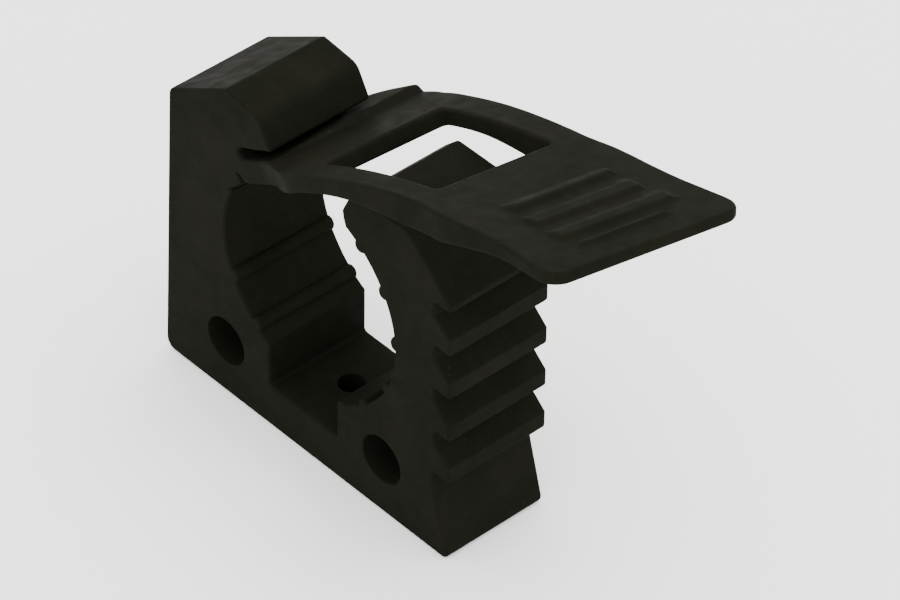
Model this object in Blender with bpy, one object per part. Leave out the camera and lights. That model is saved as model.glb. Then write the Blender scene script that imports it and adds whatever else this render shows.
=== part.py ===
"""Rubber strap clamp for tool handles and tubes.

The real clamp is a single rubber moulding.  It is modelled as the sections that move against
each other when the rubber flexes, with a short web of rubber in a node of its own at each place
where it bends.

Frame: metres, +Z up.  The origin is where the axis of the mounting bolt meets the flat
underside.  +X runs from the head post to the latch post, and +Y runs through the grip cavity.
"""

import math

import bmesh
import bpy
from mathutils import Vector

MM = 0.001

# ---- driving dimensions, in millimetres ----------------------------------------------------
BODY_DEPTH = 29.4            # along Y
GAP = 0.3                    # between neighbouring sections

# foot
FOOT_LEFT = -48.5
FOOT_RIGHT = 49.0
FOOT_CORNER_LEFT = 3.0
FOOT_CORNER_RIGHT = 1.5
FOOT_CORNER_POINTS = 5
FOOT_NECK = (0.9, 1.6)       # from the lowest tooth's root, inwards and down, to the sloping end face
END_FACE_LEAN = 10.0         # degrees, where the corner's arc meets the end face

# grip cavity: it holds handles up to 57.15 mm (2 1/4 in) across
GRIP_DIAMETER = 57.15
GRIP_X = 2.0
GRIP_Z = 49.5
GRIP_STEP = 6.0              # degrees between points on the round wall
BEAD_HEIGHT = 1.5
BEAD_HALF_ANGLE = 3.6        # degrees, seen from the cavity's axis
HEAD_BEADS = (206.0, 231.0)
LATCH_BEADS = (-50.0, -25.0, 5.0, 31.0, 54.0)
TROUGH_HALF_WIDTH = 11.5
TROUGH_FLOOR = 12.0

# holes
BOLT_HOLE_DIAMETER = 6.4     # takes a 1/4 in bolt
CORE_BORE_DIAMETER = 12.5
CORE_BORE_X = 26.7
CORE_BORE_Z = 15.4
HOLE_SEGMENTS = 28
CUTTER_EXTRA = 4.0           # how much longer a hole's cutter is than the hole

# flex webs between the foot and the two posts
WEB_LOW = 32.6
WEB_HIGH = 34.7

# head post
WALL_LEAN = 0.0405           # how far the outer wall leans in, per mm of height
HEAD_SHOULDER_Z = 78.1
HEAD_RIDGE = (-25.6, 89.8)
HEAD_FLAT_END = (-14.6, 88.5)
NOSE_TIP = (-10.2, 80.9)
VALLEY = ((-12.6, 80.0), (-16.0, 78.2), (-20.8, 76.0), (-21.9, 74.0))
SLIT = ((-22.3, 68.5), (-21.9, 67.5), (-20.2, 65.9))
LOBE = (-24.6, 61.8)
HEAD_WALL_START = 156.0      # degrees

# latch post and its five saw teeth
TOOTH_COUNT = 5
TOOTH_PITCH = 12.35
TOP_TOOTH_Z = 72.4
TOOTH_DEPTH = 4.9
TOOTH_FACE = 4.6
TOOTH_SLOPE = 4.3
TOOTH_TIP_X = 49.1
TOOTH_LEAN = 0.0125          # how far the tooth tips lean in, per mm of height
TOOTH_UNDER_RISE = 0.3       # the underside of a tooth rises this much towards its root
LATCH_WALL_END = 65.0        # degrees
LATCH_NOSE = ((13.4, 77.4), (13.0, 79.6), (14.8, 83.4), (18.8, 87.2))
LATCH_TOP_END = (34.6, 87.2)
TOP_TOOTH_SHOULDER = ((46.9, 75.7), (48.2, 74.2))

# strap: its top line starts under the nose of the head and arches over the latch post
STRAP_ROOT = (-21.9, 72.3)
STRAP_LENGTH = 124.8
SLOPE_AT = ((0.0, 26.0), (14.0, 31.0), (22.0, 31.0), (75.0, 15.0), (128.0, 11.0))
THICK_AT = ((0.0, 6.2), (20.0, 5.6), (37.0, 4.3), (50.0, 4.6), (74.0, 6.9), (84.0, 6.6), (92.0, 5.4),
            (104.0, 3.8), (124.8, 2.8))
WIDE_AT = ((0.0, 14.7), (8.0, 14.7), (13.0, 15.7), (19.0, 18.7), (24.0, 21.3), (29.0, 23.0), (36.0, 23.4),
           (75.0, 23.6), (86.0, 25.0), (105.0, 25.5), (120.0, 27.3), (124.8, 27.6))
FAR_EXTRA_AT = ((0.0, 0.0), (7.0, 0.0), (10.0, 4.2), (14.0, 6.5), (19.0, 6.2), (24.0, 4.2), (28.0, 2.6),
                (50.0, 2.2), (70.0, 1.4), (85.0, 0.4), (95.0, 0.0))
FAR_EXTRA_START = 8.0        # the extra width on the far side is spread from here outwards
TWIST_DEGREES = 10.0         # the free end is moulded with its far side low
TWIST_START = 10.0
DRIFT_AT = ((0.0, 0.0), (8.0, 0.0), (28.0, 0.5), (75.0, 0.5), (90.0, 0.2), (110.0, -0.6), (124.8, -1.4))
WINDOW_HALF_WIDTH = 15.9
WINDOW_START = 35.3
WINDOW_END = 73.8
PAD_START = 8.0              # raised pad across the root
PAD_END = 17.0
PAD_HEIGHT = 0.9
PAD_TILT = 0.05              # it stands higher on its far side by this much per mm across
TAB_CORNER = 5.0
# each grip bar: start and end along the strap, and reach to the near and to the far side
GRIP_BARS = ((91.6, 95.6, 13.2, 16.1), (98.8, 104.8, 14.8, 16.0), (107.6, 113.1, 15.2, 17.8),
             (115.2, 117.6, 13.2, 11.6))
GRIP_BAR_HEIGHT = 0.85
GRIP_BAR_SINK = 1.0          # how deep a bar's shape reaches into the tab before the two are joined
PAD_EDGE = 0.05              # length over which the pad's end steps down

# where each strap section starts and ends, along the strap
ROOT_STUB_END = 8.0
STRAP_WEB = (14.0, 21.0)
RAIL_WEB = (52.0, 58.0)
TAB_WEB = (83.0, 88.0)

RUBBER_COLOUR = (0.018, 0.018, 0.014, 1.0)
RUBBER_ROUGHNESS = 0.55


# ---- small helpers ---------------------------------------------------------------------------
def clear_scene():
    for item in list(bpy.data.objects):
        bpy.data.objects.remove(item, do_unlink=True)


def between(table, value):
    """Straight-line value from a table of (place, value) pairs."""
    if value <= table[0][0]:
        return table[0][1]
    for (a, low), (b, high) in zip(table, table[1:]):
        if value <= b:
            return low + (high - low) * (value - a) / (b - a)
    return table[-1][1]


def steps(start, end, size):
    """Evenly spaced values from start to end, about size apart."""
    count = max(1, round(abs(end - start) / size))
    return [start + (end - start) * i / count for i in range(count + 1)]


def rubber(name):
    material = bpy.data.materials.new(name + "_rubber")
    material.use_nodes = True
    shader = material.node_tree.nodes["Principled BSDF"]
    shader.inputs["Base Color"].default_value = RUBBER_COLOUR
    shader.inputs["Roughness"].default_value = RUBBER_ROUGHNESS
    shader.inputs["Metallic"].default_value = 0.0
    return material


def add_object(name, mesh_builder):
    """Turn a bmesh in millimetres into a named object in metres."""
    bmesh.ops.recalc_face_normals(mesh_builder, faces=mesh_builder.faces[:])
    mesh_builder.verts.ensure_lookup_table()
    for vert in mesh_builder.verts:
        vert.co *= MM
    mesh = bpy.data.meshes.new(name)
    mesh_builder.to_mesh(mesh)
    mesh_builder.free()
    item = bpy.data.objects.new(name, mesh)
    item.data.materials.append(rubber(name))
    bpy.context.scene.collection.objects.link(item)
    return item


def prism(name, outline, half_depth):
    """A solid with the given (x, z) outline, reaching half_depth to each side of y = 0."""
    bm = bmesh.new()
    near = [bm.verts.new((x, -half_depth, z)) for x, z in outline]
    far = [bm.verts.new((x, half_depth, z)) for x, z in outline]
    bm.faces.new(near)
    bm.faces.new(list(reversed(far)))
    for i in range(len(outline)):
        j = (i + 1) % len(outline)
        bm.faces.new((near[i], far[i], far[j], near[j]))
    return add_object(name, bm)


def cylinder_cutter(name, centre, axis, radius, length):
    bm = bmesh.new()
    bmesh.ops.create_cone(bm, cap_ends=True, segments=HOLE_SEGMENTS, radius1=radius, radius2=radius,
                          depth=length)
    turn = Vector((0, 0, 1)).rotation_difference(Vector(axis)).to_matrix()
    for vert in bm.verts:
        vert.co = turn @ vert.co + Vector(centre)
    cutter = add_object(name, bm)
    cutter.hide_render = True
    cutter.display_type = "WIRE"
    return cutter


def combine(item, tool, operation):
    modifier = item.modifiers.new(operation.lower() + "_" + tool.name, "BOOLEAN")
    modifier.operation = operation
    modifier.solver = "EXACT"
    modifier.object = tool


# ---- outlines of the moulded body ------------------------------------------------------------
def outer_wall_x(z):
    return FOOT_LEFT + WALL_LEAN * z


def tooth_tip_x(z):
    return TOOTH_TIP_X - TOOTH_LEAN * z


def arc(cx, cz, radius, start, end, points):
    """Points on a circle from start to end, in degrees."""
    result = []
    for i in range(points):
        angle = math.radians(start + (end - start) * i / (points - 1))
        result.append((cx + radius * math.cos(angle), cz + radius * math.sin(angle)))
    return result


def grip_radius(angle, beads):
    """Radius of the cavity wall, which a bead narrows."""
    radius = GRIP_DIAMETER / 2
    for bead in beads:
        offset = abs(angle - bead) / BEAD_HALF_ANGLE
        if offset < 1.0:
            radius -= BEAD_HEIGHT * math.sqrt(1.0 - offset * offset)
    return radius


def grip_angle_at(z, right_side):
    angle = math.degrees(math.asin((z - GRIP_Z) / (GRIP_DIAMETER / 2)))
    return angle if right_side else 180.0 - angle


def grip_wall(start, end, beads):
    """Cavity wall from start to end, in degrees, with extra points on each bead."""
    low, high = min(start, end), max(start, end)
    angles = set(steps(low, high, GRIP_STEP))
    for bead in beads:
        if low < bead < high:
            angles = {a for a in angles if abs(a - bead) > BEAD_HALF_ANGLE + 0.5}
            angles.update(bead + BEAD_HALF_ANGLE * part for part in (-1.0, -0.85, -0.5, 0.0, 0.5, 0.85, 1.0))
    ordered = sorted(a for a in angles if low <= a <= high)
    if start > end:
        ordered.reverse()
    result = []
    for angle in ordered:
        radius = grip_radius(angle, beads)
        turn = math.radians(angle)
        result.append((GRIP_X + radius * math.cos(turn), GRIP_Z + radius * math.sin(turn)))
    return result


def trough_angle(x):
    """Angle at which the cavity wall meets a trough wall."""
    return 360.0 - math.degrees(math.acos((x - GRIP_X) / (GRIP_DIAMETER / 2)))


def tooth(number):
    """Outline of one tooth from its slope's upper end down to its root under the tip."""
    z = TOP_TOOTH_Z - number * TOOTH_PITCH
    tip = tooth_tip_x(z)
    root = tip - TOOTH_DEPTH
    return [(root, z + TOOTH_FACE + TOOTH_SLOPE), (tip, z + TOOTH_FACE), (tip, z), (root, z + TOOTH_UNDER_RISE)]


def foot_outline():
    cut = WEB_LOW - GAP
    points = arc(FOOT_LEFT + FOOT_CORNER_LEFT, FOOT_CORNER_LEFT, FOOT_CORNER_LEFT, 270, 182,
                 FOOT_CORNER_POINTS)
    points.append((outer_wall_x(cut), cut))
    left_top = trough_angle(-TROUGH_HALF_WIDTH)
    right_top = trough_angle(TROUGH_HALF_WIDTH)
    points += grip_wall(grip_angle_at(cut, False), left_top, HEAD_BEADS)
    points += [(-TROUGH_HALF_WIDTH, TROUGH_FLOOR), (TROUGH_HALF_WIDTH, TROUGH_FLOOR)]
    points += grip_wall(right_top - 360.0, grip_angle_at(cut, True), LATCH_BEADS)
    last_tooth = tooth(TOOTH_COUNT - 1)
    points.append((last_tooth[0][0], cut))
    points += last_tooth
    points.append((last_tooth[3][0] - FOOT_NECK[0], last_tooth[3][1] - FOOT_NECK[1]))
    points += arc(FOOT_RIGHT - FOOT_CORNER_RIGHT, FOOT_CORNER_RIGHT, FOOT_CORNER_RIGHT, END_FACE_LEAN, -90,
                  FOOT_CORNER_POINTS)
    return points


def head_web_outline():
    return ([(outer_wall_x(WEB_LOW), WEB_LOW), (outer_wall_x(WEB_HIGH), WEB_HIGH)]
            + grip_wall(grip_angle_at(WEB_HIGH, False), grip_angle_at(WEB_LOW, False), HEAD_BEADS))


def latch_web_outline():
    root = tooth(TOOTH_COUNT - 1)[0][0]
    return (grip_wall(grip_angle_at(WEB_LOW, True), grip_angle_at(WEB_HIGH, True), LATCH_BEADS)
            + [(root, WEB_HIGH), (root, WEB_LOW)])


def head_outline():
    cut = WEB_HIGH + GAP
    points = [(outer_wall_x(cut), cut), (outer_wall_x(HEAD_SHOULDER_Z), HEAD_SHOULDER_Z)]
    points += [HEAD_RIDGE, HEAD_FLAT_END, NOSE_TIP]
    points += VALLEY
    places = steps(0.0, ROOT_STUB_END, 2.0)
    points += [strap_line(s) for s in places]
    points += [strap_under(s) for s in reversed(places)]
    points += SLIT
    points.append(LOBE)
    points += grip_wall(HEAD_WALL_START, grip_angle_at(cut, False), HEAD_BEADS)
    return points


def latch_outline():
    cut = WEB_HIGH + GAP
    points = grip_wall(grip_angle_at(cut, True), LATCH_WALL_END, LATCH_BEADS)
    points += LATCH_NOSE
    points.append(LATCH_TOP_END)
    points += TOP_TOOTH_SHOULDER
    points += tooth(0)[2:]
    for number in range(1, TOOTH_COUNT - 1):
        points += tooth(number)
    points.append((tooth(TOOTH_COUNT - 2)[3][0], cut))
    return points


# ---- strap -----------------------------------------------------------------------------------
def strap_line(s):
    """Place of the strap's top line, s millimetres from its root."""
    x, z = STRAP_ROOT
    places = steps(0.0, s, 0.5) if s > 0 else [0.0]
    for a, b in zip(places, places[1:]):
        slope = math.radians(between(SLOPE_AT, (a + b) / 2))
        x += (b - a) * math.cos(slope)
        z += (b - a) * math.sin(slope)
    return x, z


def strap_under(s):
    x, z = strap_line(s)
    slope = math.radians(between(SLOPE_AT, s))
    thick = between(THICK_AT, s)
    return x + thick * math.sin(slope), z - thick * math.cos(slope)


def strap_twist(s):
    part = min(1.0, max(0.0, (s - TWIST_START) / (STRAP_LENGTH - TWIST_START)))
    return math.radians(TWIST_DEGREES) * math.sin(part * math.pi / 2)


def strap_point(s, across, height):
    """A point of the strap: along it, across it, and above its top line."""
    if across > FAR_EXTRA_START:
        outwards = (across - FAR_EXTRA_START) / (between(WIDE_AT, s) - FAR_EXTRA_START)
        across += between(FAR_EXTRA_AT, s) * outwards
    x, z = strap_line(s)
    slope = math.radians(between(SLOPE_AT, s))
    twist = strap_twist(s)
    normal = Vector((-math.sin(slope), 0.0, math.cos(slope)))
    side = Vector((0.0, 1.0, 0.0))
    across_way = side * math.cos(twist) - normal * math.sin(twist)
    up_way = normal * math.cos(twist) + side * math.sin(twist)
    drift = side * between(DRIFT_AT, s)
    return Vector((x, 0.0, z)) + across_way * across + up_way * height + drift


def strap_half_width(s):
    half = between(WIDE_AT, s)
    over = s - (STRAP_LENGTH - TAB_CORNER)
    if over > 0:
        half -= TAB_CORNER - math.sqrt(max(0.0, TAB_CORNER ** 2 - over ** 2))
    return half


def pad_height(s, across):
    return PAD_HEIGHT + PAD_TILT * across if PAD_START <= s <= PAD_END else 0.0


def strap_sweep(name, places, low_side, high_side, top=None, bottom=None):
    """A solid swept along the strap between two sideways limits, each a function of s."""
    top = top or pad_height
    bottom = bottom or (lambda s: -between(THICK_AT, s))
    bm = bmesh.new()
    rings = []
    for s in places:
        low, high = low_side(s), high_side(s)
        corners = ((low, top(s, low)), (high, top(s, high)), (high, bottom(s)), (low, bottom(s)))
        rings.append([bm.verts.new(strap_point(s, across, height)) for across, height in corners])
    for a, b in zip(rings, rings[1:]):
        for i in range(4):
            j = (i + 1) % 4
            bm.faces.new((a[i], a[j], b[j], b[i]))
    bm.faces.new(rings[0])
    bm.faces.new(rings[-1][::-1])
    return add_object(name, bm)


def whole_width(name, start, end, extra=()):
    places = sorted(set(steps(start, end, 3.0)) | {s for s in extra if start < s < end})
    return strap_sweep(name, places, lambda s: -strap_half_width(s), strap_half_width)


def rail(name, start, end, far_side):
    places = steps(start, end, 4.0)
    if far_side:
        return strap_sweep(name, places, lambda s: WINDOW_HALF_WIDTH, strap_half_width)
    return strap_sweep(name, places, lambda s: -strap_half_width(s), lambda s: -WINDOW_HALF_WIDTH)


def pull_tab():
    corner = [STRAP_LENGTH - TAB_CORNER * (1.0 - math.sin(math.radians(a))) for a in (20, 40, 60, 75, 90)]
    places = steps(TAB_WEB[1] + GAP, STRAP_LENGTH - TAB_CORNER, 3.0) + corner
    tab = strap_sweep("pull_tab", places, lambda s: -strap_half_width(s), strap_half_width)
    for number, (start, end, near, far) in enumerate(GRIP_BARS, 1):
        bar = strap_sweep("grip_bar_shape_%d" % number, steps(start, end, 2.5), lambda s: -near, lambda s: far,
                          lambda s, across: GRIP_BAR_HEIGHT, lambda s: -GRIP_BAR_SINK)
        bar.hide_render = True
        bar.display_type = "WIRE"
        combine(tab, bar, "UNION")
    return tab


# ---- the clamp -------------------------------------------------------------------------------
def build_body():
    half = BODY_DEPTH / 2
    foot = prism("base_block", foot_outline(), half)
    combine(foot, cylinder_cutter("bolt_hole_shape", (0, 0, TROUGH_FLOOR / 2), (0, 0, 1), BOLT_HOLE_DIAMETER / 2,
                                  TROUGH_FLOOR + CUTTER_EXTRA), "DIFFERENCE")
    for side, x in (("left", -CORE_BORE_X), ("right", CORE_BORE_X)):
        cutter = cylinder_cutter("core_bore_shape_" + side, (x, 0, CORE_BORE_Z), (0, 1, 0), CORE_BORE_DIAMETER / 2,
                                 BODY_DEPTH + CUTTER_EXTRA)
        combine(foot, cutter, "DIFFERENCE")
    prism("head_flex_web", head_web_outline(), half)
    prism("latch_flex_web", latch_web_outline(), half)
    prism("head_post", head_outline(), half)
    prism("latch_post", latch_outline(), half)


def build_strap():
    pad_edge = (PAD_END, PAD_END + PAD_EDGE)
    whole_width("strap_root", ROOT_STUB_END + GAP, STRAP_WEB[0] - GAP)
    whole_width("strap_hinge_web", STRAP_WEB[0], STRAP_WEB[1], pad_edge)
    whole_width("strap_crossbar", STRAP_WEB[1] + GAP, WINDOW_START)
    for side, far_side in (("near", False), ("far", True)):
        rail("rail_inner_" + side, WINDOW_START + GAP, RAIL_WEB[0] - GAP, far_side)
        rail("rail_flex_web_" + side, RAIL_WEB[0], RAIL_WEB[1], far_side)
        rail("rail_outer_" + side, RAIL_WEB[1] + GAP, WINDOW_END - GAP, far_side)
    whole_width("hook_bar", WINDOW_END, TAB_WEB[0] - GAP)
    whole_width("tab_flex_web", TAB_WEB[0], TAB_WEB[1])
    pull_tab()


# ---- joint axes --------------------------------------------------------------------------------
def strap_middle(s):
    """Place half way through the strap's thickness."""
    (top_x, top_z), (under_x, under_z) = strap_line(s), strap_under(s)
    return (top_x + under_x) / 2, (top_z + under_z) / 2


def outline_middle(outline):
    """Place half way across a web, both ways."""
    across = [x for x, z in outline]
    return (min(across) + max(across)) / 2, (WEB_LOW + WEB_HIGH) / 2


def hang_on_axis(name, place, parent, pieces):
    """An empty on a joint's axis, which carries the pieces that move with that joint."""
    axis = bpy.data.objects.new(name, None)
    bpy.context.scene.collection.objects.link(axis)
    at = Vector((place[0], 0.0, place[1])) * MM
    axis.location = at
    if parent:
        axis.parent = parent
        axis.location = at - Vector(parent["place"])
    axis["place"] = at
    for piece in pieces:
        item = bpy.data.objects[piece]
        item.parent = axis
        item.location = -at
    return axis


def add_joint_axes():
    head = hang_on_axis("head_flex_axis", outline_middle(head_web_outline()), None, ("head_post", "strap_root"))
    hang_on_axis("latch_flex_axis", outline_middle(latch_web_outline()), None, ("latch_post",))
    hinge = hang_on_axis("strap_hinge_axis", strap_middle(sum(STRAP_WEB) / 2), head,
                         ("strap_crossbar", "rail_inner_near", "rail_inner_far"))
    bend = hang_on_axis("strap_bend_axis", strap_middle(sum(RAIL_WEB) / 2), hinge,
                        ("rail_outer_near", "rail_outer_far", "hook_bar"))
    hang_on_axis("tab_flex_axis", strap_middle(sum(TAB_WEB) / 2), bend, ("pull_tab",))


clear_scene()
build_body()
build_strap()
add_joint_axes()
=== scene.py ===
"""Looks of the rubber strap clamp: one continuous black rubber moulding that bends at its joints.

Lengths are in millimetres until a mesh is finished, and metres after that.  +X runs from the head
post to the latch post, +Y through the grip cavity and +Z up.  A place on the strap is given by s,
the length along its top line from its root, and by the distance across it.
"""

import math
from collections import namedtuple

import bmesh
import bpy
from mathutils import Matrix, Vector


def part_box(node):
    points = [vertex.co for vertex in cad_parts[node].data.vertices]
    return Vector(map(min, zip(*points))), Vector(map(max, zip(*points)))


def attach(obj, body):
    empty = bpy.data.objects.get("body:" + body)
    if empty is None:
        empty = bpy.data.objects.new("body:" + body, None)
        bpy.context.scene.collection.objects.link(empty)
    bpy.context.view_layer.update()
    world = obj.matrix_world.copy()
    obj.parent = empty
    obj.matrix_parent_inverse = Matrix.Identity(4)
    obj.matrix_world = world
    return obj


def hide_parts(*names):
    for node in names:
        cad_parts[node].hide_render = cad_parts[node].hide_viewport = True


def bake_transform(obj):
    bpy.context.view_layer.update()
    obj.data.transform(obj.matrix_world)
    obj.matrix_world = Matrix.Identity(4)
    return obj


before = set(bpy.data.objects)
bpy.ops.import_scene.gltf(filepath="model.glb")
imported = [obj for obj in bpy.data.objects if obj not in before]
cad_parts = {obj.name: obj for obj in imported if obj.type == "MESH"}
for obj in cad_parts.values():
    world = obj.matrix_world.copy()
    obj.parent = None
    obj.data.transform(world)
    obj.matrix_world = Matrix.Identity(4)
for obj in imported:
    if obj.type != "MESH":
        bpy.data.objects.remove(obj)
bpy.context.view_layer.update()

MM = 0.001
MERGE_DISTANCE = 0.0005             # points closer than this are one point
CUT_TOLERANCE = 0.0001
STRAIGHT = 1e-5                     # sine of a turn so small that the outline runs straight on
ARC_STEP = math.radians(15)         # longest step round a rounded corner
CREASE_ANGLE = math.radians(38)     # the surface is shaded smooth below this angle
FOOT_BOX = [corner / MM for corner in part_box("base_block")]
HALF_DEPTH = FOOT_BOX[1].y

# ---- the moulded body's driving dimensions ---------------------------------------------------
FOOT_LEFT, FOOT_RIGHT = -48.5, 49.0
FOOT_CORNERS = 3.0, 1.5             # radius of the left and of the right lower corner
WALL_LEAN = 0.0405                  # how far the outer wall leans in, per mm of height
HEAD_SHOULDER_Z, HEAD_SHOULDER_ROUND = 78.1, 2.0
HEAD_TOP = ((-25.6, 89.8, 1.5), (-14.6, 88.6, 4.0), (-10.2, 80.9, 0.9))   # x, z and corner radius
HEAD_VALLEY = ((-12.6, 80.0, 1.0), (-16.0, 78.2, 2.0), (-20.8, 76.0, 1.5), (-21.9, 74.0, 0.8))
HEAD_SLIT = ((-22.3, 68.4, 0.2), (-21.9, 67.6, 0.2), (-20.2, 65.9, 1.0), (-24.6, 61.8, 0.0))
GRIP_RADIUS = 28.575
GRIP_X, GRIP_Z = 2.0, 49.5
GRIP_STEP = 3.0                     # degrees between the points of the cavity's wall
BEAD_HEIGHT = 1.5
BEAD_HALF_ANGLE = 3.6               # degrees, seen from the cavity's axis
BEAD_MARGIN = 0.4                   # degrees kept free of wall points beside a bead
BEAD_STEPS = (-1.0, -0.97, -0.85, -0.6, -0.3, 0.0, 0.3, 0.6, 0.85, 0.97, 1.0)
HEAD_BEADS = (206.0, 231.0)         # degrees from +X
LATCH_BEADS = (-50.0, -25.0, 5.0, 31.0, 54.0)
HEAD_WALL_START = 156.0             # degrees
LATCH_WALL_END = 65.0
TROUGH_HALF_WIDTH = 11.5
TROUGH_FLOOR, TROUGH_ROUND = 12.0, 0.8
LATCH_TOP = ((13.4, 77.4, 1.2), (13.0, 79.6, 1.5), (14.8, 83.4, 2.0), (18.8, 87.2, 1.5),
             (34.6, 87.2, 1.5))
TOP_TOOTH_SHOULDER = ((46.9, 75.7, 0.5), (48.2, 74.2, 0.8))
TOOTH_COUNT = 5
TOOTH_PITCH = 12.35
TOP_TOOTH_Z = 72.4
TOOTH_DEPTH, TOOTH_FACE, TOOTH_SLOPE = 4.9, 4.6, 4.3
TOOTH_TIP_X, TOOTH_LEAN = 49.1, 0.0125
TOOTH_UNDER_RISE, TOOTH_ROUND = 0.3, 0.55
FOOT_NECK, FOOT_NECK_ROUND = (0.9, 1.6), 0.6   # from the last tooth in and down to the foot
BODY_FILLET = 0.8                   # round of the long edges round the two flat sides
FILLET_STEPS = 4
BOLT_HOLE_RADIUS = 3.2
CORE_BORE_RADIUS, CORE_BORE_X, CORE_BORE_Z = 6.25, 26.7, 15.4
RIM_ROUND, RIM_STEPS = 0.35, 3      # round of a hole's rim
HOLE_SEGMENTS = 64

# ---- the strap's driving dimensions ----------------------------------------------------------
STRAP_ROOT = (-21.9, 72.3)
STRAP_LENGTH = 124.8
STRAP_STUB = 7.0                    # the length that belongs to the head's moulding
STUB_START, STUB_STEP = 2.0, 2.5    # first point on top of it, and the step between points
STUB_ROUND = 1.0                    # round of its lower corner at the root
SLOPE_AT = ((0.0, 26.0), (14.0, 31.0), (22.0, 31.0), (75.0, 15.0), (128.0, 11.0))
THICK_AT = ((0.0, 6.2), (20.0, 5.6), (37.0, 4.3), (50.0, 4.6), (74.0, 6.9), (84.0, 6.6), (92.0, 5.4),
            (104.0, 3.8), (124.8, 2.8))
WIDE_AT = ((0.0, 14.7), (8.0, 14.7), (13.0, 15.7), (19.0, 18.7), (24.0, 21.3), (29.0, 23.0), (36.0, 23.4),
           (75.0, 23.6), (86.0, 25.0), (105.0, 25.5), (120.0, 27.3), (124.8, 27.6))
FAR_EXTRA_AT = ((0.0, 0.0), (7.0, 0.0), (10.0, 4.2), (14.0, 6.5), (19.0, 6.2), (24.0, 4.2), (28.0, 2.6),
                (50.0, 2.2), (70.0, 1.4), (85.0, 0.4), (95.0, 0.0))
FAR_EXTRA_START = 8.0               # the extra width on the far side is spread from here outwards
TWIST_DEGREES = 10.0                # the free end is moulded with its far side low
TWIST_START = 10.0
DRIFT_AT = ((0.0, 0.0), (8.0, 0.0), (28.0, 0.5), (75.0, 0.5), (90.0, 0.2), (110.0, -0.6), (124.8, -1.4))
WINDOW = (35.3, 73.8)
WINDOW_HALF_WIDTH = 15.9
WINDOW_CORNER = 1.0
TAB_CORNER = 5.0
STRAP_FILLET = 0.9
PAD_START, PAD_END, PAD_STEP = 8.5, 16.6, 1.2
PAD_HEIGHT = 0.9
PAD_SKEW, PAD_TILT = 0.13, 0.05     # on its far side the pad ends further along the strap and stands higher
# each grip bar: start and end along the strap, and reach to the near and to the far side
GRIP_BARS = ((90.6, 96.0, 13.6, 16.5), (97.8, 105.2, 15.2, 16.4), (106.6, 113.5, 15.6, 18.2),
             (114.4, 118.0, 13.6, 12.0))
GRIP_BAR_HEIGHT, GRIP_BAR_CORNER = 0.85, 1.6
GRIP_BAR_RISE, GRIP_BAR_FALL = 3.4, 1.3       # lengths of the gentle slope and of the steep one

# ---- where the moulding is divided between bodies, and where it bends -------------------------
FOOT_TOP = 22.3
POST_BEND = (25.65, 41.65)          # heights
CROSSBAR_CUT, HOOK_BAR_CUT = 30.5, 78.5       # between two of the strap's divisions
ROOT_BEND, RAIL_BEND, TAB_BEND = (10.0, 25.0), (45.0, 65.0), (80.5, 90.5)

# ---- how finely what bends is divided --------------------------------------------------------
POST_STEP = 1.0
EDGE_STEP = 1.0                     # between the points of the strap's long edges
# start, end and step of the cuts along the strap, and of those across its near half
ALONG_CUTS = ((7.5, 21.0, 0.5), (8.0, 88.0, 1.0), (88.0, 120.0, 0.5), (120.0, 124.0, 1.0))
ACROSS_CUTS = ((-25.5, -1.5, 1.5), (-16.75, -12.25, 0.5))

Corner = namedtuple("Corner", "x y radius held open", defaults=(0.0, False, False))


# ---- helpers ---------------------------------------------------------------------------------
def between(table, value):
    """Straight-line value from a table of (place, value) pairs."""
    if value <= table[0][0]:
        return table[0][1]
    for (a, low), (b, high) in zip(table, table[1:]):
        if value <= b:
            return low + (high - low) * (value - a) / (b - a)
    return table[-1][1]


def curved_between(table, value):
    """Value from the same kind of table, on a smooth curve through its points."""
    value = min(max(value, table[0][0]), table[-1][0])
    i = max(k for k in range(len(table) - 1) if table[k][0] <= value)

    def slope(k):
        a, b = max(k - 1, 0), min(k + 1, len(table) - 1)
        if a < k < b and (table[k][1] - table[a][1]) * (table[b][1] - table[k][1]) <= 0.0:
            return 0.0
        return (table[b][1] - table[a][1]) / (table[b][0] - table[a][0])

    (a, low), (b, high) = table[i], table[i + 1]
    t = (value - a) / (b - a)
    return ((2 * t ** 3 - 3 * t ** 2 + 1) * low + (t ** 3 - 2 * t ** 2 + t) * (b - a) * slope(i)
            + (3 * t ** 2 - 2 * t ** 3) * high + (t ** 3 - t ** 2) * (b - a) * slope(i + 1))


def ease(t):
    """From 0 to 1 while t does, flat at both ends."""
    t = min(1.0, max(0.0, t))
    return t * t * (3.0 - 2.0 * t)


def steps(start, end, size):
    """Evenly spaced values from start to end, about size apart."""
    count = max(1, round(abs(end - start) / size))
    return [start + (end - start) * i / count for i in range(count + 1)]


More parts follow.
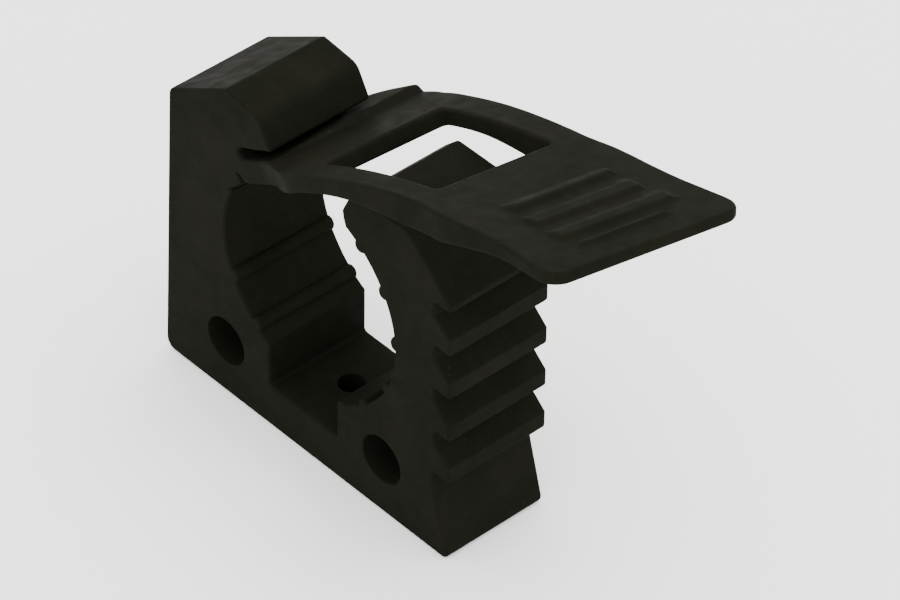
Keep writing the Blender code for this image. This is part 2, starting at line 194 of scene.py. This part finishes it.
def offset_ring(corners, inset):
    """The clockwise outline moved into the material by inset, with its corners rounded.

    The number of points is the same for every inset.  The edge after a held corner stays put."""
    points, walled = [], []
    for i, corner in enumerate(corners):
        before, after = corners[i - 1], corners[(i + 1) % len(corners)]
        here = Vector((corner.x, corner.y))
        arrive = (here - Vector((before.x, before.y))).normalized()
        leave = (Vector((after.x, after.y)) - here).normalized()
        in_a, in_b = Vector((arrive.y, -arrive.x)), Vector((leave.y, -leave.x))
        reach_a = 0.0 if before.held else inset
        reach_b = 0.0 if corner.held else inset
        turn = in_a.x * in_b.y - in_a.y * in_b.x
        if abs(turn) < STRAIGHT:
            point = here + in_a * reach_a
        else:
            moved = (reach_a * in_b.y - reach_b * in_a.y, in_a.x * reach_b - in_b.x * reach_a)
            point = here + Vector(moved) / turn
        if corner.radius == 0.0:
            points.append(point)
        else:
            angle = math.atan2(turn, arrive.dot(leave))
            radius = max(0.0, corner.radius + (inset if angle > 0 else -inset))
            start = point - arrive * radius * math.tan(abs(angle) / 2)
            arm = in_a * (radius if angle > 0 else -radius)
            arc_steps = max(2, math.ceil(abs(angle) / ARC_STEP))
            for k in range(arc_steps + 1):
                points.append(start - arm + Matrix.Rotation(angle * k / arc_steps, 2) @ arm)
            walled += [True] * arc_steps
        walled.append(not corner.open)
    return points, walled


def loft(corners, levels, place):
    """A solid through the outline's rings at each (inset, height), with a flat face on both ends."""
    bm = bmesh.new()
    rings = []
    for inset, height in levels:
        points, walled = offset_ring(corners, inset)
        rings.append([bm.verts.new(place(point, height)) for point in points])
    count = len(rings[0])
    for low, high in zip(rings, rings[1:]):
        for i in range(count):
            if walled[i]:
                j = (i + 1) % count
                bm.faces.new((low[i], low[j], high[j], high[i]))
    bm.faces.new(rings[0])
    bm.faces.new(rings[-1][::-1])
    bmesh.ops.remove_doubles(bm, verts=bm.verts[:], dist=MERGE_DISTANCE)
    bmesh.ops.dissolve_degenerate(bm, edges=bm.edges[:], dist=MERGE_DISTANCE)
    return bm


def fillet_levels(radius, low, high, count=FILLET_STEPS):
    """(inset, height) pairs of a wall between two heights, with both its ends rounded."""
    angles = [math.pi / 2 * k / count for k in range(count + 1)]
    lower = [(radius * (1 - math.cos(a)), low + radius * (1 - math.sin(a))) for a in reversed(angles)]
    upper = [(radius * (1 - math.cos(a)), high - radius * (1 - math.sin(a))) for a in angles]
    return lower + upper


def cut(bm, place, normal, keep=None):
    """Divides every face along a plane, and with keep = "below" or "above" closes off that side."""
    everything = bm.verts[:] + bm.edges[:] + bm.faces[:]
    result = bmesh.ops.bisect_plane(bm, geom=everything, dist=CUT_TOLERANCE, plane_co=place,
                                    plane_no=normal, clear_outer=keep == "below",
                                    clear_inner=keep == "above")
    if keep:
        rim = [e for e in result["geom_cut"] if isinstance(e, bmesh.types.BMEdge) and e.is_boundary]
        bmesh.ops.edgeloop_fill(bm, edges=rim)
    return bm


def finished(name, bm, body=None):
    """A named object in metres from a mesh in millimetres, smooth but for its real creases."""
    bmesh.ops.recalc_face_normals(bm, faces=bm.faces[:])
    bmesh.ops.scale(bm, vec=(MM, MM, MM), verts=bm.verts[:])
    mesh = bpy.data.meshes.new(name)
    bm.to_mesh(mesh)
    bm.free()
    mesh.shade_smooth()
    mesh.set_sharp_from_angle(angle=CREASE_ANGLE)
    item = bpy.data.objects.new(name, mesh)
    bpy.context.scene.collection.objects.link(item)
    normals = item.modifiers.new("normals", "WEIGHTED_NORMAL")
    normals.keep_sharp = True
    if body:
        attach(item, body)
    return item


# ---- the strap's shape -----------------------------------------------------------------------
LINE_STEP = 0.25
LINE_SPARE = 4                      # steps that the line runs on for past the strap's end


def traced_line():
    """Points of the strap's top line, LINE_STEP apart."""
    x, z = STRAP_ROOT
    points = [(x, z)]
    for i in range(int(STRAP_LENGTH / LINE_STEP) + LINE_SPARE):
        slope = math.radians(between(SLOPE_AT, (i + 0.5) * LINE_STEP))
        x += LINE_STEP * math.cos(slope)
        z += LINE_STEP * math.sin(slope)
        points.append((x, z))
    return points


LINE = traced_line()


def strap_line(s):
    """The x and z of the strap's top line at s."""
    i = int(s / LINE_STEP)
    part = s / LINE_STEP - i
    (ax, az), (bx, bz) = LINE[i], LINE[i + 1]
    return ax + (bx - ax) * part, az + (bz - az) * part


def strap_thick(s):
    return curved_between(THICK_AT, s)


def strap_half_width(s):
    return curved_between(WIDE_AT, s)


def strap_under(s):
    """The x and z of the strap's underside, square to its top line."""
    x, z = strap_line(s)
    slope = math.radians(between(SLOPE_AT, s))
    return x + strap_thick(s) * math.sin(slope), z - strap_thick(s) * math.cos(slope)


def strap_point(s, across, height):
    """A point of the strap: along it, across it, and above its top line."""
    if across > FAR_EXTRA_START:
        outwards = (across - FAR_EXTRA_START) / (strap_half_width(s) - FAR_EXTRA_START)
        across += curved_between(FAR_EXTRA_AT, s) * outwards
    x, z = strap_line(s)
    slope = math.radians(between(SLOPE_AT, s))
    part = min(1.0, max(0.0, (s - TWIST_START) / (STRAP_LENGTH - TWIST_START)))
    twist = math.radians(TWIST_DEGREES) * math.sin(part * math.pi / 2)
    normal = Vector((-math.sin(slope), 0.0, math.cos(slope)))
    side = Vector((0.0, 1.0, 0.0))
    across_way = side * math.cos(twist) - normal * math.sin(twist)
    up_way = normal * math.cos(twist) + side * math.sin(twist)
    return Vector((x, curved_between(DRIFT_AT, s), z)) + across_way * across + up_way * height


def strap_middle(s):
    """Half way through the strap at s, in metres."""
    return strap_point(s, 0.0, -strap_thick(s) / 2) * MM


def bar_height(s, across):
    """How far the grip bars stand up from the tab."""
    height = 0.0
    for start, end, near, far in GRIP_BARS:
        rise = ease((s - start) / GRIP_BAR_RISE)
        fall = ease((end - s) / GRIP_BAR_FALL)
        side = ease((far - across) / GRIP_BAR_CORNER) * ease((near + across) / GRIP_BAR_CORNER)
        height = max(height, GRIP_BAR_HEIGHT * rise * fall * side)
    return height


def pad_height(s, across):
    """How far the pad across the strap's root stands up."""
    begun = ease((s - PAD_START) / PAD_STEP + 0.5)
    ended = ease((s - PAD_END - PAD_SKEW * across) / PAD_STEP + 0.5)
    return (PAD_HEIGHT + PAD_TILT * across) * begun * (1.0 - ended)


# ---- the body --------------------------------------------------------------------------------
def outer_wall_x(z):
    return FOOT_LEFT + WALL_LEAN * z


def grip_wall(start, end, beads):
    """The cavity's wall from start to end, in degrees, with its beads."""
    low, high = min(start, end), max(start, end)
    angles = set(steps(low, high, GRIP_STEP))
    for bead in beads:
        if low < bead < high:
            angles = {a for a in angles if abs(a - bead) > BEAD_HALF_ANGLE + BEAD_MARGIN}
            angles.update(bead + BEAD_HALF_ANGLE * part for part in BEAD_STEPS)
    points = []
    for angle in sorted(angles, reverse=start > end):
        radius = GRIP_RADIUS
        for bead in beads:
            offset = abs(angle - bead) / BEAD_HALF_ANGLE
            if offset < 1.0:
                radius -= BEAD_HEIGHT * math.sqrt(1.0 - offset * offset)
        turn = math.radians(angle)
        points.append(Corner(GRIP_X + radius * math.cos(turn), GRIP_Z + radius * math.sin(turn)))
    return points


def trough_angle(x):
    """Angle at which the cavity's wall meets a wall of the trough."""
    return 360.0 - math.degrees(math.acos((x - GRIP_X) / GRIP_RADIUS))


def tooth_corners(number):
    """A tooth's outline from the root above it to the root below, with number 0 at the top."""
    z = TOP_TOOTH_Z - number * TOOTH_PITCH
    tip = TOOTH_TIP_X - TOOTH_LEAN * z
    root = tip - TOOTH_DEPTH
    outline = ((root, z + TOOTH_FACE + TOOTH_SLOPE), (tip, z + TOOTH_FACE), (tip, z),
               (root, z + TOOTH_UNDER_RISE))
    return [Corner(*point, TOOTH_ROUND) for point in outline]


def body_corners():
    """The body's outline, clockwise, from the lower left corner."""
    corners = [Corner(FOOT_LEFT, 0.0, FOOT_CORNERS[0])]
    corners.append(Corner(outer_wall_x(HEAD_SHOULDER_Z), HEAD_SHOULDER_Z, HEAD_SHOULDER_ROUND))
    corners += [Corner(*point) for point in HEAD_TOP + HEAD_VALLEY]
    stub = steps(STUB_START, STRAP_STUB, STUB_STEP)
    corners += [Corner(*strap_line(s)) for s in stub[:-1]]
    corners.append(Corner(*strap_line(STRAP_STUB), held=True))
    corners += [Corner(*strap_under(s)) for s in reversed(stub)]
    corners.append(Corner(*strap_under(0.0), STUB_ROUND))
    corners += [Corner(*point) for point in HEAD_SLIT]
    corners += grip_wall(HEAD_WALL_START, trough_angle(-TROUGH_HALF_WIDTH), HEAD_BEADS)
    corners += [Corner(x, TROUGH_FLOOR, TROUGH_ROUND) for x in (-TROUGH_HALF_WIDTH, TROUGH_HALF_WIDTH)]
    corners += grip_wall(trough_angle(TROUGH_HALF_WIDTH) - 360.0, LATCH_WALL_END, LATCH_BEADS)
    corners += [Corner(*point) for point in LATCH_TOP + TOP_TOOTH_SHOULDER]
    corners += tooth_corners(0)[2:]
    for number in range(1, TOOTH_COUNT):
        corners += tooth_corners(number)
    neck = corners[-1]
    corners.append(Corner(neck.x - FOOT_NECK[0], neck.y - FOOT_NECK[1], FOOT_NECK_ROUND))
    corners.append(Corner(FOOT_RIGHT, 0.0, FOOT_CORNERS[1]))
    return corners


def rounded_hole(item, centre, axis, radius, depth):
    """Cuts a hole through the item, with its two rims rounded."""
    bm = bmesh.new()
    wall = fillet_levels(RIM_ROUND, -depth / 2, depth / 2, RIM_STEPS)
    profile = [(RIM_ROUND, -depth)] + wall + [(RIM_ROUND, depth)]
    turns = [2 * math.pi * k / HOLE_SEGMENTS for k in range(HOLE_SEGMENTS)]
    rings = []
    for flare, height in profile:
        reach = radius + flare
        rings.append([bm.verts.new((reach * math.cos(t), reach * math.sin(t), height)) for t in turns])
    for low, high in zip(rings, rings[1:]):
        for k in range(HOLE_SEGMENTS):
            j = (k + 1) % HOLE_SEGMENTS
            bm.faces.new((low[k], low[j], high[j], high[k]))
    bm.faces.new(rings[0][::-1])
    bm.faces.new(rings[-1])
    turn = Vector((0, 0, 1)).rotation_difference(Vector(axis)).to_matrix().to_4x4()
    bmesh.ops.transform(bm, matrix=Matrix.Translation(centre) @ turn, verts=bm.verts[:])
    cutter = finished("hole_shape", bm)
    modifier = item.modifiers.new("hole", "BOOLEAN")
    modifier.operation = "DIFFERENCE"
    modifier.solver = "EXACT"
    modifier.object = cutter
    while item.modifiers[0] != modifier:
        item.modifiers.move(len(item.modifiers) - 1, 0)
    with bpy.context.temp_override(object=item, active_object=item):
        bpy.ops.object.modifier_apply(modifier=modifier.name)
    bpy.data.objects.remove(cutter, do_unlink=True)


def build_body():
    """The foot and the two posts, divided out of one moulding."""
    levels = fillet_levels(BODY_FILLET, -HALF_DEPTH, HALF_DEPTH)
    whole = loft(body_corners(), levels, lambda point, height: (point.x, height, point.y))
    foot_mesh = whole.copy()
    cut(foot_mesh, (0, 0, FOOT_TOP), (0, 0, 1), "below")
    foot = finished("moulded_foot", foot_mesh)
    rounded_hole(foot, (0, 0, TROUGH_FLOOR / 2), (0, 0, 1), BOLT_HOLE_RADIUS, TROUGH_FLOOR)
    for x in (-CORE_BORE_X, CORE_BORE_X):
        rounded_hole(foot, (x, 0, CORE_BORE_Z), (0, 1, 0), CORE_BORE_RADIUS, 2 * HALF_DEPTH)
    foot.data.set_sharp_from_angle(angle=CREASE_ANGLE)
    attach(foot, "foot")
    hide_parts("base_block")

    cut(whole, (0, 0, FOOT_TOP), (0, 0, 1), "above")
    for z in steps(*POST_BEND, POST_STEP):
        cut(whole, (0, 0, z), (0, 0, 1))
    made = [foot]
    for side, body, nodes in ((-1, "head", ("head_flex_web", "head_post")),
                              (1, "latch", ("latch_flex_web", "latch_post"))):
        column = whole.copy()
        other = [v for v in column.verts if v.co.x * side < 0]
        bmesh.ops.delete(column, geom=other, context="VERTS")
        post = finished("moulded_%s_post" % body, column)
        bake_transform(post)
        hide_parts(*nodes)
        made.append(post)
    whole.free()
    return made


# ---- the strap's meshes ----------------------------------------------------------------------
UNDERSIDE = -100.0                  # marks points that are measured from the strap's underside


def strap_corners():
    """The near half of the strap laid flat: x along it, y across it."""
    places = steps(STRAP_STUB, STRAP_LENGTH - TAB_CORNER, EDGE_STEP)
    corners = [Corner(STRAP_STUB, -strap_half_width(STRAP_STUB), held=True),
               Corner(STRAP_STUB, 0.0, held=True, open=True),
               Corner(WINDOW[0], 0.0),
               Corner(WINDOW[0], -WINDOW_HALF_WIDTH, WINDOW_CORNER),
               Corner(WINDOW[1], -WINDOW_HALF_WIDTH, WINDOW_CORNER),
               Corner(WINDOW[1], 0.0, held=True, open=True),
               Corner(STRAP_LENGTH, 0.0),
               Corner(STRAP_LENGTH, -strap_half_width(STRAP_LENGTH), TAB_CORNER)]
    corners += [Corner(s, -strap_half_width(s)) for s in reversed(places[1:-1])]
    return corners


def flat_strap():
    """The whole strap laid flat and divided finely enough to be bent into shape."""
    levels = fillet_levels(STRAP_FILLET, UNDERSIDE, 0.0)
    bm = loft(strap_corners(), levels, lambda point, height: (point.x, point.y, height))
    for s in sorted({s for stretch in ALONG_CUTS for s in steps(*stretch)}):
        cut(bm, (s, 0, 0), (1, 0, 0))
    for across in [y for stretch in ACROSS_CUTS for y in steps(*stretch)]:
        cut(bm, (0, across, 0), (0, 1, 0))
    far_half = bmesh.ops.duplicate(bm, geom=bm.verts[:] + bm.edges[:] + bm.faces[:])["geom"]
    for vert in far_half:
        if isinstance(vert, bmesh.types.BMVert):
            vert.co.y = -vert.co.y
    middle = [v for v in bm.verts if abs(v.co.y) < 2 * MERGE_DISTANCE]
    bmesh.ops.remove_doubles(bm, verts=middle, dist=MERGE_DISTANCE)
    return bm


def bent(bm):
    """Bends the flat mesh into the strap's moulded shape."""
    for vert in bm.verts:
        s, across, height = vert.co
        if height > UNDERSIDE / 2:
            height += pad_height(s, across) + bar_height(s, across)
        else:
            height += -UNDERSIDE - strap_thick(s)
        vert.co = strap_point(s, across, height)
    return bm


def build_strap():
    """The strap's three pieces: from the head, round the window, and the tab."""
    flat = flat_strap()
    plan = (("strap_root_moulding", None, CROSSBAR_CUT, "head", "strap_inner", ROOT_BEND,
             ("strap_root", "strap_hinge_web", "strap_crossbar")),
            ("strap_window_moulding", CROSSBAR_CUT, HOOK_BAR_CUT, "strap_inner", "strap_outer", RAIL_BEND,
             ("rail_inner_near", "rail_inner_far", "rail_flex_web_near", "rail_flex_web_far",
              "rail_outer_near", "rail_outer_far", "hook_bar")),
            ("strap_tab_moulding", HOOK_BAR_CUT, None, "strap_outer", "tab", TAB_BEND,
             ("tab_flex_web", "pull_tab")))
    made = []
    for name, start, end, body_a, body_b, bend, nodes in plan:
        bm = flat.copy()
        if start:
            cut(bm, (start, 0, 0), (1, 0, 0), "above")
        if end:
            cut(bm, (end, 0, 0), (1, 0, 0), "below")
        piece = finished(name, bent(bm))
        strap_middle(bend[0])
        strap_middle(bend[1])
        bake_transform(piece)
        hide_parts(*nodes)
        made.append(piece)
    flat.free()
    return made


# ---- material --------------------------------------------------------------------------------
# a noise's features per metre, detail and roughness, and the values between which it comes to show
Pattern = namedtuple("Pattern", "scale detail rough low high", defaults=(0.5, 0.0, 1.0))
MOTTLE = Pattern(55.0, 5.0, 0.6, 0.35, 0.65)
CLOUD = Pattern(330.0, 3.0, 0.5, 0.4, 0.72)
SPECK = Pattern(2100.0, 1.0, 0.5, 0.745, 0.79)
SATIN = Pattern(240.0, 4.0, 0.5, 0.3, 0.7)
SKIN = Pattern(1500.0, 3.0, 0.6)
UNEVEN = Pattern(260.0, 4.0)
DARK_OLIVE = (0.0050, 0.0053, 0.0036, 1.0)
OLIVE = (0.0066, 0.0066, 0.0046, 1.0)
CLOUD_COLOUR, CLOUD_STRENGTH = (0.0078, 0.0077, 0.0056, 1.0), 0.35
SPECK_COLOUR, SPECK_STRENGTH = (0.05, 0.049, 0.043, 1.0), 0.3
SPECULAR = 0.005
ROUGHNESS = (0.44, 0.60)
SKIN_SHARE = 0.5                    # how much the skin counts in the bumps beside the unevenness
BUMP_STRENGTH, BUMP_DEPTH = 0.55, 0.00012     # the depth in metres


def black_rubber():
    """Satin moulded rubber: olive black, faintly mottled, with a fine matt skin."""
    material = bpy.data.materials.new("black_rubber")
    material.use_nodes = True
    nodes, links = material.node_tree.nodes, material.node_tree.links
    shader = nodes["Principled BSDF"]
    shader.inputs["Metallic"].default_value = 0.0
    shader.inputs["Specular IOR Level"].default_value = SPECULAR
    place = nodes.new("ShaderNodeTexCoord").outputs["Object"]

    def noise(pattern):
        node = nodes.new("ShaderNodeTexNoise")
        node.inputs["Scale"].default_value = pattern.scale
        node.inputs["Detail"].default_value = pattern.detail
        node.inputs["Roughness"].default_value = pattern.rough
        links.new(place, node.inputs["Vector"])
        return node.outputs["Fac"]

    def ramp(pattern, first, last):
        source = noise(pattern)
        node = nodes.new("ShaderNodeMapRange")
        node.inputs["From Min"].default_value = pattern.low
        node.inputs["From Max"].default_value = pattern.high
        node.inputs["To Min"].default_value = first
        node.inputs["To Max"].default_value = last
        links.new(source, node.inputs["Value"])
        return node.outputs["Result"]

    def mix(factor, a, b):
        node = nodes.new("ShaderNodeMix")
        node.data_type = "RGBA"
        links.new(factor, node.inputs["Factor"])
        for socket, value in (("A", a), ("B", b)):
            target = [i for i in node.inputs if i.name == socket and i.type == "RGBA"][0]
            if isinstance(value, tuple):
                target.default_value = value
            else:
                links.new(value, target)
        return [o for o in node.outputs if o.type == "RGBA"][0]

    colour = mix(ramp(MOTTLE, 0.0, 1.0), DARK_OLIVE, OLIVE)
    colour = mix(ramp(CLOUD, 0.0, CLOUD_STRENGTH), colour, CLOUD_COLOUR)
    colour = mix(ramp(SPECK, 0.0, SPECK_STRENGTH), colour, SPECK_COLOUR)
    links.new(colour, shader.inputs["Base Color"])
    links.new(ramp(SATIN, *ROUGHNESS), shader.inputs["Roughness"])

    skin = nodes.new("ShaderNodeMath")
    skin.operation = "MULTIPLY_ADD"
    links.new(noise(SKIN), skin.inputs[0])
    skin.inputs[1].default_value = SKIN_SHARE
    links.new(noise(UNEVEN), skin.inputs[2])
    bump = nodes.new("ShaderNodeBump")
    bump.inputs["Strength"].default_value = BUMP_STRENGTH
    bump.inputs["Distance"].default_value = BUMP_DEPTH
    links.new(skin.outputs[0], bump.inputs["Height"])
    links.new(bump.outputs["Normal"], shader.inputs["Normal"])
    return material


# ---- floor, light and camera -----------------------------------------------------------------
FLOOR_REACH, FLOOR_DROP = 3000.0, 0.05        # millimetres; the floor lies just under the foot
PAPER_COLOUR = (0.93, 0.93, 0.92, 1.0)
WORLD_STRENGTH = 3.0
LIGHT_AIM = Vector((0.0, 0.0, 0.05))          # metres, like every place below
# each soft box: name, place, size, power and colour
SOFTBOXES = (("overhead_softbox", (-0.15, 0.15, 1.1), (1.0, 0.8), 4.5, (1.0, 0.95, 0.86)),
             ("front_softbox", (0.1, -1.2, 0.55), (0.9, 0.7), 0.8, (0.97, 1.0, 0.94)),
             ("side_softbox", (1.2, 0.2, 0.5), (0.8, 0.6), 1.5, (0.96, 1.0, 0.96)))
CAMERA_AT = Vector((0.6833, -0.6061, 0.8286))
CAMERA_ROLL = math.radians(1.1)
CAMERA_AIM = Vector((0.0257, 0.0063, 0.050))
CAMERA_LENS, SENSOR_WIDTH = 215.0, 36.0


def build_stage():
    bm = bmesh.new()
    bmesh.ops.create_grid(bm, x_segments=2, y_segments=2, size=FLOOR_REACH)
    bmesh.ops.translate(bm, vec=(0, 0, -FLOOR_DROP), verts=bm.verts[:])
    floor = finished("studio_floor", bm)
    paper = bpy.data.materials.new("pale_paper")
    paper.use_nodes = True
    shader = paper.node_tree.nodes["Principled BSDF"]
    shader.inputs["Base Color"].default_value = PAPER_COLOUR
    shader.inputs["Roughness"].default_value = 0.9
    shader.inputs["Specular IOR Level"].default_value = 0.1
    floor.data.materials.append(paper)


def softbox(name, place, size, power, colour):
    lamp = bpy.data.lights.new(name, "AREA")
    lamp.shape = "RECTANGLE"
    lamp.size, lamp.size_y = size
    lamp.energy = power
    lamp.color = colour
    item = bpy.data.objects.new(name, lamp)
    item.location = place
    item.rotation_mode = "QUATERNION"
    item.rotation_quaternion = (LIGHT_AIM - Vector(place)).to_track_quat("-Z", "Y")
    bpy.context.scene.collection.objects.link(item)


def build_light():
    world = bpy.data.worlds.new("studio")
    bpy.context.scene.world = world
    world.use_nodes = True
    background = world.node_tree.nodes["Background"]
    background.inputs["Color"].default_value = (1.0, 1.0, 1.0, 1.0)
    background.inputs["Strength"].default_value = WORLD_STRENGTH
    for box in SOFTBOXES:
        softbox(*box)


def build_camera():
    data = bpy.data.cameras.new("camera")
    data.lens = CAMERA_LENS
    data.sensor_width = SENSOR_WIDTH
    camera = bpy.data.objects.new("camera", data)
    camera.location = CAMERA_AT
    camera.rotation_mode = "QUATERNION"
    look = (CAMERA_AIM - CAMERA_AT).to_track_quat("-Z", "Y")
    camera.rotation_quaternion = look @ Matrix.Rotation(CAMERA_ROLL, 3, "Z").to_quaternion()
    bpy.context.scene.collection.objects.link(camera)
    bpy.context.scene.camera = camera


# ---- everything together ---------------------------------------------------------------------
rubber = black_rubber()
for piece in build_body() + build_strap():
    piece.data.materials.clear()
    piece.data.materials.append(rubber)
build_stage()
build_light()
build_camera()
